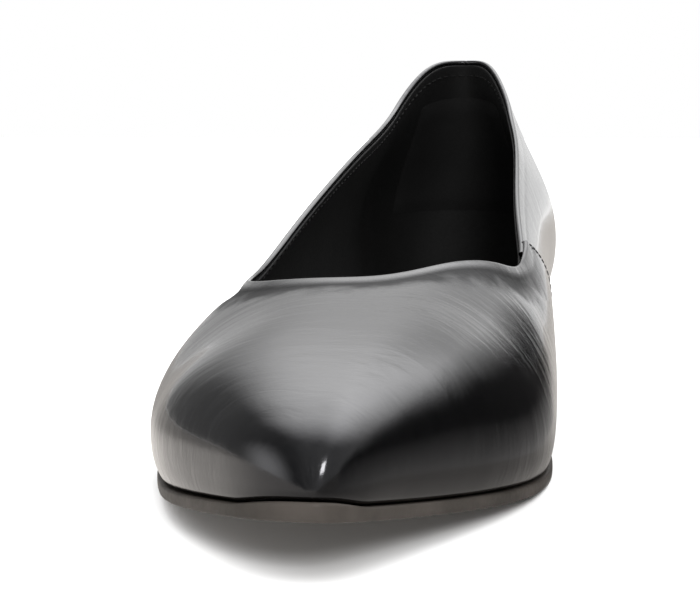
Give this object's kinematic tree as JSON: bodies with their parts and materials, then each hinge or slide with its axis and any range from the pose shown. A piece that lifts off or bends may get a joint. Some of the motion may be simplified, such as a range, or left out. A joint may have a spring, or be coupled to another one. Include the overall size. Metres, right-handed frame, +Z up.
{
  "type": "pointed toe block heel shoe",
  "caption": "Low slip-on court shoe for the right foot with a pointed toe, a rounded throat and a low block heel.",
  "frame": {"origin": "on the floor under the middle of the shoe's box", "axes": "+Z up, the toe points to -Y, the foot's inner side lies at +X"},
  "size_m": [0.0746, 0.2626, 0.0804],
  "materials": {
    "upper_leather": "polished smooth",
    "insole_leather": "matte",
    "sole_leather": "burnished",
    "heel_cover": "polished smooth",
    "top_piece_rubber": "matte"
  },
  "bodies": {
    "root": {"upper": "upper_leather", "insole": "insole_leather", "outsole": "sole_leather", "heel_block": "heel_cover", "heel_top_piece": "top_piece_rubber"}
  },
  "joints": []
}
